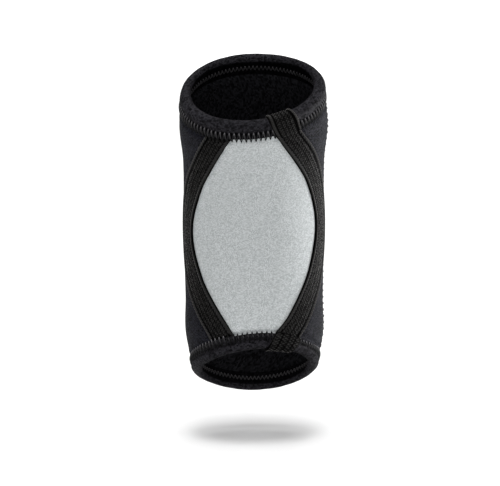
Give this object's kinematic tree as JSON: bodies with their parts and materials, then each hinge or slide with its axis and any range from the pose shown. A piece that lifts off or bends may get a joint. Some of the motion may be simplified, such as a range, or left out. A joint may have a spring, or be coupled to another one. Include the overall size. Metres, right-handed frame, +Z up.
{
  "type": "arm compression sleeve",
  "caption": "Bent sleeve of padded cloth for the elbow, open at both ends, with a pale crook panel, woven seam tapes and stitched rim bindings.",
  "frame": {"origin": "inside the hollow on the bent centreline, half way up the sleeve, where the elbow sits", "axes": "+Z up the sleeve towards the upper arm, -Y out of the crook of the elbow, +X to the right when facing the crook panel"},
  "size_m": [0.0987, 0.1082, 0.2289],
  "materials": {
    "body_cloth": "matt knitted face on foam, bluish black",
    "crook_cloth": "matt mottled knit on foam, pale grey",
    "tape_weave": "ribbed woven elastic, warm black",
    "binding_cloth": "soft knitted strip, black",
    "thread": "slightly shiny twisted thread, black"
  },
  "bodies": {
    "root": {"body_wrap": "body_cloth", "body_side": "body_cloth", "crook_panel": "crook_cloth", "left_tape": "tape_weave", "right_tape": "tape_weave", "top_binding": "binding_cloth", "bottom_binding": "binding_cloth"}
  },
  "joints": []
}
